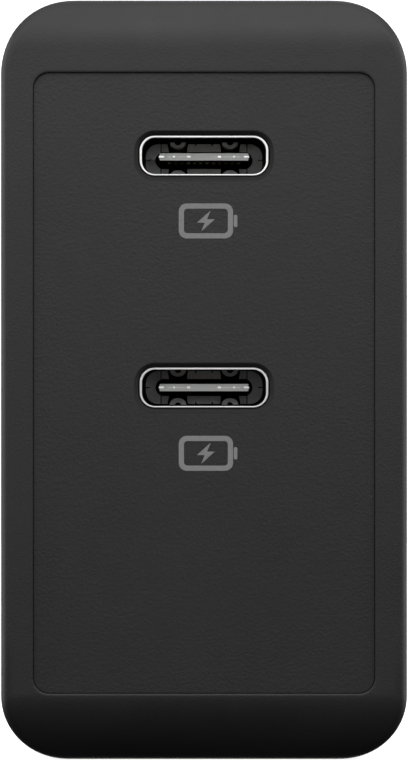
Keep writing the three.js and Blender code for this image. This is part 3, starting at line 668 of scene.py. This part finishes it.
def throat_rings():
    """The soft lip of the opening, then its wall."""
    opening = opening_outline(0.0, BODY_STEPS)
    rings = []
    for step in range(LIP_STEPS + 1):
        t = step / LIP_STEPS
        rings.append(opening.ring(FRONT + OPENING_EDGE["depth"] * t * t,
                                  (t - 1) * OPENING_EDGE["width"]))
    rings.append(opening.ring(FRONT + 2 * OPENING_EDGE["depth"]))
    rings.append(opening.ring(BEZEL_BACK))
    return rings


def front_rings(outer, lip):
    """Round the outer edge and across the front face to the lip, rolled back on the way."""
    rings = [outer.ring(FRONT + ROLL_SIDE + EDGE_RUN)]
    for step in range(EDGE_STEPS + 1):
        angle = math.radians(90 * step / EDGE_STEPS)
        rings.append(outer.ring(FRONT + ROLL_SIDE * (1 - math.sin(angle)),
                                ROLL_SIDE * (1 - math.cos(angle))))
    rim = rings[-1]
    for step in range(1, FACE_STEPS):
        t = (step / FACE_STEPS) ** FACE_CROWDING
        rings.append([a.lerp(b, t) for a, b in zip(rim, lip)])
    for ring in rings:
        for point in ring:
            point.y += rolled_back(point.z)
    return rings


def build_sleeve():
    """The housing: its front is one surface that rolls back at the top and the bottom."""
    outer, cavity = body_outline(), body_outline(WALL)
    throat = throat_rings()
    sides = edge_rings(outer, SLEEVE_REAR, -1, SEAM_EDGE)[1:]
    sides.append(outer.ring(SLEEVE_REAR - 4 * SEAM_EDGE))
    build = Build()
    outer_loops = build.loft(sides + front_rings(outer, throat[0]) + throat)
    cavity_loops = build.loft([cavity.ring(BEZEL_BACK), cavity.ring(SLEEVE_REAR)])
    build.fill([outer_loops[-1], cavity_loops[0]], TO_REAR)
    build.skin([cavity_loops[-1], outer_loops[0]])
    settle(build.finish(), "moulded_sleeve", ["housing"], FIXED, "housing", "housing_sleeve")


def mouth_outline(name):
    low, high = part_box(f"{name}_port_shell")
    border = MOUTH["border"]
    return rounded_rectangle((high.x - low.x) / 2 + border, (high.z - low.z) / 2 + border,
                             SHELL["corner"] + border, *PANEL_STEPS,
                             v=(low.z + high.z) / 2 + PORT_DROP.z)


def build_panel():
    """The inset panel: each port lies in a countersunk mouth, and a flange stands behind."""
    outer = opening_outline(PANEL_GAP, PANEL_STEPS)
    flange = rounded_rectangle(panel_high.x, panel_high.z, FLANGE["corner"], *PANEL_STEPS)
    narrow, floor = MOUTH["border"] - MOUTH["gap"], PANEL_FACE + MOUTH["depth"]
    build = Build()
    outside = build.loft(edge_rings(outer, PANEL_FACE, 1, PANEL_EDGE)
                         + [outer.ring(FLANGE["front"])])
    behind = build.loft([flange.ring(FLANGE["front"]), flange.ring(PANEL_BACK)])
    mouths = []
    for name in PORTS:
        mouth = mouth_outline(name)
        rings = edge_rings(mouth, PANEL_FACE, 1, MOUTH["edge"], into=-1)[:-2]
        rings.append(mouth.ring(floor, narrow - MOUTH["turn"]))
        rings.append(mouth.ring(floor + MOUTH["turn"], narrow))
        rings.append(mouth.ring(PANEL_BACK, narrow))
        mouths.append(build.loft(rings, material=1))
    build.fill([outside[0]] + [loops[0] for loops in mouths], TO_FRONT)
    build.fill([outside[-1], behind[0]], TO_FRONT)
    build.fill([behind[-1]] + [loops[-1] for loops in mouths], TO_REAR)
    settle(build.finish(), "inset_panel", ["panel", "mouth"], FIXED, "panel", "front_panel")


# The battery printed under each port: its case is a frame of that line, with a nub at its end.
CASE = {"line": 0.36 * MM, "corner": 0.55 * MM, "inner_corner": 0.24 * MM}
NUB = {"space": 0.3 * MM, "half_x": 0.126 * MM, "half_z": 0.42 * MM, "corner": 0.1 * MM}
INK = {"proud": 0.02 * MM, "sunk": 0.004 * MM, "edge": 0.006 * MM}
BOLT_CORNER = 0.04 * MM
# Corners of the bolt from the middle of the case, in millimetres.
BOLT = [(0.34, 0.74), (-0.62, -0.12), (-0.08, -0.12), (-0.34, -0.74), (0.62, 0.12), (0.08, 0.12)]


def build_marks():
    """Battery outline with a charging bolt, printed under each port."""
    for name in PORTS:
        low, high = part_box(f"{name}_port_mark")
        half_x, half_z = (high.x - low.x - NUB["space"]) / 2, (high.z - low.z) / 2
        x, z = (low.x + high.x - NUB["space"]) / 2, (low.z + high.z) / 2
        case = rounded_rectangle(half_x, half_z, CASE["corner"], 8, 2, x, z)
        inside = rounded_rectangle(half_x - CASE["line"], half_z - CASE["line"],
                                   CASE["inner_corner"], 8, 2, x, z)
        nub = rounded_rectangle(NUB["half_x"], NUB["half_z"], NUB["corner"], 4, 2,
                                high.x - NUB["half_x"], z)
        bolt = polygon([(x + across * MM, z + up * MM) for across, up in BOLT], BOLT_CORNER, 3)
        build = Build()
        for outline, holes in ((case, [inside]), (nub, []), (bolt, [])):
            build.plate(outline, holes, PANEL_FACE - INK["proud"], PANEL_FACE + INK["sunk"],
                        INK["edge"], steps=2, margin=INK["edge"])
        settle(build.finish(), f"{name}_port_print", ["print_grey"], FIXED, "print_grey",
               f"{name}_port_mark")


# ---------------------------------------- ports
SHELL = {"wall": 0.2 * MM, "corner": 1.08 * MM, "trim": 0.04 * MM, "lip": 0.03 * MM,
         "support": 0.012 * MM, "turn": 0.01 * MM, "overhang": 0.2 * MM}
# Width of the bright lip of the shell, more at its sides and at its top.
CROWN = {"low": 0.105 * MM, "side": 0.04 * MM, "top": 0.014 * MM}
CHAMFER = {"in": 0.03 * MM, "depth": 0.3 * MM}
LEG = {"half_x": 0.09 * MM, "half_z": 0.3 * MM, "corner": 0.04 * MM, "z": 0.75 * MM,
       "overlap": 0.3 * MM, "straight": 1.0 * MM, "length": 1.3 * MM, "taper": 0.05 * MM}
INSULATOR = {"gap_x": 0.37 * MM, "gap_z": 0.25 * MM, "thick": 0.5 * MM, "edge": 0.02 * MM}
ROOT = {"half_x": 3.0 * MM, "half_z": 0.24 * MM, "corner": 0.08 * MM, "reach": 3.7 * MM}
NOSE = {"half_x": 3.08 * MM, "half_z": 0.25 * MM, "corner": 0.05 * MM, "depth": 0.34 * MM,
        "edge": 0.012 * MM}
STEEL_SPOT = {"proud": 0.04 * MM, "sunk": 0.3 * MM, "edge": 0.035 * MM, "roundness": 0.92}
STEEL_SEAM = {"x": 1.9 * MM, "half_x": 0.62 * MM, "half_z": 0.018 * MM, "proud": 0.008 * MM,
              "sunk": 0.1 * MM, "edge": 0.006 * MM}
CONTACTS = {"count": 12, "pitch": 0.44 * MM, "half_x": 0.12 * MM, "half_z": 0.015 * MM,
            "z": 0.232 * MM, "long_start": 2.4 * MM, "short_start": 2.7 * MM}

# In millimetres from the centre of the port: the steel spots on the nose (x, half width, half
# height), and the grey insulator wall at the end of the port.
STEEL_SPOTS = [(2.95, 0.2, 0.085), (2.087, 0.09, 0.08), (1.065, 0.14, 0.09)]
WALL_CORNER = 0.9
SLOT = {"x": 3.42, "z": 0.6, "corner": 0.55}
SPRING = {"x": 1.83, "half": 0.56, "height": 0.44, "hole": 0.24, "hole_height": 0.2,
          "forward": 1.0, "rise": 0.05}
PARTING = {"x": 3.03, "half": 0.035}
NOTCH = {"half": 0.035, "depth": 0.3}
V_CUT = {"x": 0.58, "half": 0.07, "depth": 0.2}
WINDOW_HALF = 0.64
# How far the sides of a block lean in, at their bend and at the top.
SIDE_BLOCK = {"bend": 0.06, "top": 0.1, "drop": 0.25}
MIDDLE_BLOCK = {"bend": 0.02, "top": 0.08}


def build_port(name):
    shell_low, shell_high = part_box(f"{name}_port_shell")
    tongue_low, tongue_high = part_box(f"{name}_port_tongue")
    collar_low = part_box(f"{name}_port_collar")[0]
    middle = (shell_low + shell_high) / 2 + PORT_DROP
    half_x, half_z = (shell_high.x - shell_low.x) / 2, (shell_high.z - shell_low.z) / 2
    build_shell(name, middle, half_x, half_z, shell_low.y, tongue_high.y + SHELL["overhang"])
    inner_x, inner_z = half_x - INSULATOR["gap_x"], half_z - INSULATOR["gap_z"]
    build_port_wall(name, middle, inner_x, inner_z, collar_low.y)
    build_tongue_root(name, middle, inner_x, inner_z, collar_low.y, tongue_high.y)
    build_tongue_nose(name, middle, tongue_low.y)
    build_contacts(name, middle, tongue_low.y, tongue_high.y)


def build_shell(name, middle, half_x, half_z, mouth, back):
    """The drawn steel tube: a bright lip with a slight lead-in; inside, painted shade: its walls take the port's
    black in place of steel.
    """
    trim, lip, support, turn = SHELL["trim"], SHELL["lip"], SHELL["support"], SHELL["turn"]
    outer = rounded_rectangle(half_x - trim, half_z - 0.75 * trim, SHELL["corner"] - trim, 14, 6,
                              middle.x, middle.z)
    crown = [CROWN["low"] + CROWN["side"] * abs(nu) + CROWN["top"] * nv
             for _, _, nu, nv in outer.points]
    build = Build()
    rings = [outer.ring(back)] + edge_rings(outer, mouth, 1, lip, steps=5)[:0:-1]
    rings.append(outer.ring(mouth, lip + support))
    rings.append(outer.ring(mouth, [width - support for width in crown]))
    rings.append(outer.ring(mouth, crown))
    rings.append(outer.ring(mouth + turn, [width + turn for width in crown]))
    rings.append(outer.ring(mouth + CHAMFER["depth"], [width + CHAMFER["in"] for width in crown]))
    bright = build.loft(rings)
    # Painted shade: the inside and the back end of the steel tube take the black, unreflecting material instead of
    # steel.
    dark = [bright[-1], build.loop(outer.ring(back, SHELL["wall"]))]
    build.skin(dark, material=1)
    build.skin([dark[-1], bright[0]], material=1)
    for side in (-1, 1):
        for end in (-1, 1):
            leg = rounded_rectangle(LEG["half_x"], LEG["half_z"], LEG["corner"], 3, 2,
                                    middle.x + side * (half_x - SHELL["wall"] / 2),
                                    middle.z + end * LEG["z"])
            build.solid([leg.ring(back - LEG["overlap"]), leg.ring(back + LEG["straight"]),
                         leg.ring(back + LEG["length"], LEG["taper"])])
    settle(build.finish(), f"{name}_port_can", ["port_steel", "port_dark"], FIXED,
           "port_steel", f"{name}_port_shell", sharp=50)


def corner_arc(u, v, radius_u, radius_v, start, end, steps=8):
    """Points on an arc of an ellipse, its angles in degrees."""
    turns = [math.radians(start + (end - start) * step / steps) for step in range(steps + 1)]
    return [(u + radius_u * math.cos(a), v + radius_v * math.sin(a)) for a in turns]


def end_block_outline(half_x, half_z):
    """The C-shaped block at the right end, notched outside and open to the slot inside."""
    corner, notch, notched = WALL_CORNER, NOTCH["half"], half_x - NOTCH["depth"]
    inner = PARTING["x"] + PARTING["half"]
    block_line = [(inner, -half_z)]
    block_line += corner_arc(half_x - corner, corner - half_z, corner, corner, -90, 0)
    block_line += [(half_x, -notch), (notched, -notch), (notched, notch), (half_x, notch)]
    block_line += corner_arc(half_x - corner, half_z - corner, corner, corner, 0, 90)
    block_line.append((inner, half_z))
    slot_x = SLOT["x"] - SLOT["corner"]
    start = math.degrees(math.acos(max(inner - slot_x, 0) / SLOT["corner"]))
    return block_line + corner_arc(slot_x, 0, SLOT["corner"], SLOT["z"], start, -start, 12)


def side_block_outline(half_z):
    """The narrow block between a spring window and the parting line, at the upper right."""
    window, slot_z, parting = SPRING["x"] + WINDOW_HALF, SLOT["z"], PARTING["x"] - PARTING["half"]
    return [(window, slot_z), (parting, slot_z), (parting, half_z),
            (window + SIDE_BLOCK["top"], half_z),
            (window + SIDE_BLOCK["bend"], half_z - SIDE_BLOCK["drop"])]


def middle_block_outline(half_z):
    """The wide upper block between the two spring windows, with two V cuts in its top."""
    middle, slot_z, cut_z = SPRING["x"] - WINDOW_HALF, SLOT["z"], half_z - V_CUT["depth"]
    bend, top = MIDDLE_BLOCK["bend"], MIDDLE_BLOCK["top"]
    block_line = [(-middle, slot_z), (middle, slot_z), (middle - bend, cut_z),
                  (middle - top, half_z)]
    for x in (V_CUT["x"], -V_CUT["x"]):
        block_line += [(x + V_CUT["half"], half_z), (x, cut_z), (x - V_CUT["half"], half_z)]
    return block_line + [(top - middle, half_z), (bend - middle, cut_z)]


def wall_outlines(half_x, half_z):
    """Every raised block of the insulator wall, drawn about the centre, anticlockwise."""
    outlines = []
    for mirror_x in (1, -1):
        outlines.append(mirrored(end_block_outline(half_x, half_z), mirror_x, 1))
        for mirror_z in (1, -1):
            outlines.append(mirrored(side_block_outline(half_z), mirror_x, mirror_z))
    for mirror_z in (1, -1):
        outlines.append(mirrored(middle_block_outline(half_z), 1, mirror_z))
    return outlines


def mirrored(points, mirror_x, mirror_z):
    turned = [(x * mirror_x, z * mirror_z) for x, z in points]
    return turned if mirror_x * mirror_z > 0 else turned[::-1]


def placed(points, middle):
    return polygon([(middle.x + x * MM, middle.z + z * MM) for x, z in points])


def build_port_wall(name, middle, half_x, half_z, near):
    """The insulator at the end of the port: raised grey blocks round a deep slot, and four
    half-round spring pads in front of them."""
    far, edge, margin = near + INSULATOR["thick"], INSULATOR["edge"], 0.01 * MM
    build = Build()
    for points in wall_outlines(half_x / MM, half_z / MM):
        build.plate(placed(points, middle), [], near, far, edge, steps=2, margin=margin)
    ceiling = half_z / MM + SPRING["rise"]
    pad = corner_arc(0, 0, SPRING["half"], SPRING["height"], 180, 360, 16)
    pad += corner_arc(0, 0, SPRING["hole"], SPRING["hole_height"], 360, 180, 8)
    for side_x in (-1, 1):
        for side_z in (-1, 1):
            spot = [(side_x * SPRING["x"] + x, side_z * (ceiling + z))
                    for x, z in mirrored(pad, side_z, 1)]
            build.plate(placed(spot, middle), [], near - SPRING["forward"] * MM, far, edge,
                        steps=2, margin=margin)
    settle(build.finish(), f"{name}_port_wall", ["port_plastic"], FIXED, "port_plastic",
           f"{name}_port_collar")


def build_tongue_root(name, middle, half_x, half_z, near, back):
    """The black back of the port, and the tongue as far as its pale nose."""
    thick, edge = INSULATOR["thick"], INSULATOR["edge"]
    build = Build()
    backing = rounded_rectangle(half_x, half_z, WALL_CORNER * MM, 14, 6, middle.x, middle.z)
    build.plate(backing, [], near + thick - 0.01 * MM, back, edge)
    root = rounded_rectangle(ROOT["half_x"], ROOT["half_z"], ROOT["corner"], 4, 10,
                             middle.x, middle.z)
    build.plate(root, [], near - ROOT["reach"], near + thick, edge)
    settle(build.finish(), f"{name}_port_tongue_root", ["port_dark"], FIXED,
           "port_plastic", f"{name}_port_tongue")


def build_tongue_nose(name, middle, tip):
    """The pale nose of the tongue, with the bright steel that shows on its front edge."""
    outline = rounded_rectangle(NOSE["half_x"], NOSE["half_z"], NOSE["corner"], 4, 10,
                                middle.x, middle.z)
    build = Build()
    build.plate(outline, [], tip, tip + NOSE["depth"], NOSE["edge"], steps=2, margin=0.01 * MM)
    settle(build.finish(), f"{name}_port_tongue_nose", ["tongue"], FIXED, "port_plastic")

    build = Build()
    for side in (-1, 1):
        for x, half, height in STEEL_SPOTS:
            corner = height * STEEL_SPOT["roundness"] * MM
            spot = rounded_rectangle(half * MM, height * MM, corner, 6, 2,
                                     middle.x + side * x * MM, middle.z)
            build.plate(spot, [], tip - STEEL_SPOT["proud"], tip + STEEL_SPOT["sunk"],
                        STEEL_SPOT["edge"], steps=3, margin=0.01 * MM)
        seam = rounded_rectangle(STEEL_SEAM["half_x"], STEEL_SEAM["half_z"], 0.01 * MM, 3, 4,
                                 middle.x + side * STEEL_SEAM["x"], middle.z)
        build.plate(seam, [], tip - STEEL_SEAM["proud"], tip + STEEL_SEAM["sunk"],
                    STEEL_SEAM["edge"], steps=2, margin=0.004 * MM)
    settle(build.finish(), f"{name}_port_mid_edge", ["mid_plate_steel"], FIXED,
           "mid_plate_steel", f"{name}_port_mid_plate")


def build_contacts(name, middle, tip, back):
    """The gold strips on both faces of the tongue; some start nearer its tip."""
    last = CONTACTS["count"] - 1
    build = Build()
    for index in range(CONTACTS["count"]):
        x = middle.x + (index - last / 2) * CONTACTS["pitch"]
        long = index % 3 == 0 or index == last
        start = tip + (CONTACTS["long_start"] if long else CONTACTS["short_start"])
        for side in (-1, 1):
            strip = rounded_rectangle(CONTACTS["half_x"], CONTACTS["half_z"], 0.01 * MM, 3, 2, x,
                                      middle.z + side * CONTACTS["z"])
            build.plate(strip, [], start, back, 0.008 * MM, steps=2, margin=0.002 * MM)
    settle(build.finish(), f"{name}_port_contact_strips", ["contact_gold"], FIXED,
           "contact_gold", f"{name}_port_contacts")


# ---------------------------------------- rear cover and plug
BLADE_X = 6.35 * MM
BLADE_HALF = 0.75 * MM
POCKET = {"half": 1.3 * MM, "depth": -7.4 * MM, "low": -12.2 * MM, "wall": 1.0 * MM,
          "corner": 0.35 * MM, "outer_corner": 0.4 * MM, "overlap": 0.4 * MM}
WINDOW = {"half_x": 9.1 * MM, "half_z": 3.55 * MM, "depth": -20 * MM, "corner": 0.5 * MM}
SCOOP = {"radius": 7 * MM, "depth": 1.6 * MM, "above_pocket": 5.4 * MM, "overlap": 0.1 * MM}
CARRIER = {"radius": 3.3 * MM, "half_length": 8.9 * MM, "edge": 0.25 * MM, "flat": 2.9 * MM,
           "flat_half": 3 * MM, "slot_gap": 0.05 * MM, "slot_half": 1.65 * MM}
TRUNNION = {"radius": 1.4 * MM, "edge": 0.15 * MM}
BLADE = {"half": 3.175 * MM, "root": 1.6 * MM, "tail": 1.2 * MM, "root_end": 3.3 * MM,
         "corner": 0.5 * MM, "tip_corner": 1.5 * MM, "tip_length": 1.7 * MM}
BLADE_HOLE = {"y": 11.8 * MM, "radius": 1.6 * MM}
TIP = {"length": 1.6 * MM, "bite": 0.42 * MM, "past": 0.02 * MM}
CLEAR = 3 * MM  # how far a cutter stands out of the wall face


def build_rear_cover():
    """The rear plate: two blade pockets, a window for the carrier and a finger scoop."""
    outer = body_outline()
    near = SLEEVE_REAR + SEAM_EDGE
    build = Build()
    build.solid(edge_rings(outer, near, 1, SEAM_EDGE)[1:]
                + edge_rings(outer, 0.0, -1, COVER_EDGE, steps=8)[:0:-1])
    cover = build.finish()

    reach = POCKET["half"] + POCKET["wall"]
    for x in (-BLADE_X, BLADE_X):
        low = (x - reach, POCKET["depth"] - POCKET["wall"], POCKET["low"] - POCKET["wall"])
        high = (x + reach, near + POCKET["overlap"], PIVOT.z - WINDOW["half_z"])
        combine(cover, [block(low, high, POCKET["outer_corner"])], "UNION")
    cutters = [block((x - POCKET["half"], POCKET["depth"], POCKET["low"]),
                     (x + POCKET["half"], CLEAR, PIVOT.z), POCKET["corner"])
               for x in (-BLADE_X, BLADE_X)]
    cutters.append(block((-WINDOW["half_x"], WINDOW["depth"], PIVOT.z - WINDOW["half_z"]),
                         (WINDOW["half_x"], CLEAR, PIVOT.z + WINDOW["half_z"]), WINDOW["corner"]))
    reach = BLADE_X - POCKET["half"] + SCOOP["overlap"]
    scoop = Vector((0, SCOOP["radius"] - SCOOP["depth"], POCKET["low"] + SCOOP["above_pocket"]))
    cutters.append(barrel(scoop, SCOOP["radius"], -reach, reach, steps=96))
    combine(cover, cutters, "DIFFERENCE")
    soften(cover, 0.16 * MM)
    settle(cover, "moulded_rear_cover", ["rear_housing"], FIXED, "rear_housing", "rear_cover",
           sharp=50)


def build_carrier():
    """The turning bar with its trunnions, a slot for each blade and the two flats of its cam."""
    low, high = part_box("plug_carrier")
    past, overlap = 5 * MM, 0.05 * MM
    carrier = barrel(PIVOT, CARRIER["radius"], -CARRIER["half_length"], CARRIER["half_length"],
                     CARRIER["edge"], 96)
    combine(carrier, [barrel(PIVOT, TRUNNION["radius"], low.x, high.x, TRUNNION["edge"], 48)],
            "UNION")
    slot, slot_z = BLADE_HALF + CARRIER["slot_gap"], CARRIER["slot_half"]
    cutters = []
    for x in (-BLADE_X, BLADE_X):
        cutters.append(block((x - slot, PIVOT.y - overlap, PIVOT.z - past),
                             (x + slot, PIVOT.y + past, PIVOT.z + past)))
        cutters.append(block((x - slot, PIVOT.y - past, PIVOT.z - slot_z),
                             (x + slot, PIVOT.y, PIVOT.z + slot_z)))
    flat, half = CARRIER["flat"], CARRIER["flat_half"]
    cutters.append(block((-half, PIVOT.y - past, PIVOT.z - past),
                         (half, PIVOT.y - flat, PIVOT.z + past)))
    cutters.append(block((-half, PIVOT.y - past, PIVOT.z - past),
                         (half, PIVOT.y + past, PIVOT.z - flat)))
    combine(carrier, cutters, "DIFFERENCE")
    soften(carrier, 0.08 * MM, 2)
    settle(carrier, "moulded_plug_carrier", ["carrier_plastic"], MOVING, "carrier_plastic",
           "plug_carrier", sharp=50)


def build_blade(name, side):
    """A stamped blade: a narrow tail, a root in the carrier, and a chamfered tip with a hole."""
    low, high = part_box(f"blade_{name}")
    x, tip, root_end = side * BLADE_X, high.y, PIVOT.y - BLADE["root_end"]
    half, root, tail = BLADE["half"], BLADE["root"], BLADE["tail"]
    shoulder, tip_half = tip - BLADE["tip_length"], half - BLADE["tip_corner"]
    below = [(low.y, -tail), (root_end, -tail), (root_end, -root), (PIVOT.y, -root),
             (PIVOT.y, -half), (shoulder, -half), (tip, -tip_half)]
    above = [(y, -z) for y, z in below[::-1]]
    outline = polygon([(y, PIVOT.z + z) for y, z in below + above], BLADE["corner"], 5)
    build = Build()
    build.solid([outline.ring(x - BLADE_HALF, place=on_side),
                 outline.ring(x + BLADE_HALF, place=on_side)])
    blade = build.finish()
    hole = Vector((0, BLADE_HOLE["y"], PIVOT.z))
    cutters = [barrel(hole, BLADE_HOLE["radius"], x - 2 * MM, x + 2 * MM, steps=64)]
    for face in (-1, 1):
        cutters.append(tip_wedge(x + face * BLADE_HALF, face, tip))
    combine(blade, cutters, "DIFFERENCE")
    soften(blade, 0.09 * MM, 3, 20)
    settle(blade, f"nickel_blade_{name}", ["blade_nickel"], MOVING, "blade_nickel",
           f"blade_{name}", sharp=50)


def tip_wedge(face_x, side, tip):
    """Cuts one broad face of a blade down to its thin tip."""
    far_x, start, end = face_x + side * 2 * MM, tip - TIP["length"], tip + TIP["past"]
    corners = [(face_x, start), (face_x - side * TIP["bite"], end), (far_x, end), (far_x, start)]
    build = Build()
    build.solid([[Vector((x, y, z)) for x, y in corners]
                 for z in (PIVOT.z - 6 * MM, PIVOT.z + 6 * MM)])
    return build.finish()


# ---------------------------------------- parts kept from the frame
def dress_frame():
    """The inner parts keep their shapes and take their materials."""
    slots = {row["node"]: row["material_slot"] for row in frame["record"]["subparts"]}
    for name, node in frame["nodes"].items():
        if node.hide_render:
            continue
        node.data.materials.clear()
        node.data.materials.append(MATERIALS[slots[name]])


add_camera()
add_studio()
build_sleeve()
build_panel()
build_marks()
for port_name in PORTS:
    build_port(port_name)
build_rear_cover()
build_carrier()
build_blade("left", -1)
build_blade("right", 1)
dress_frame()
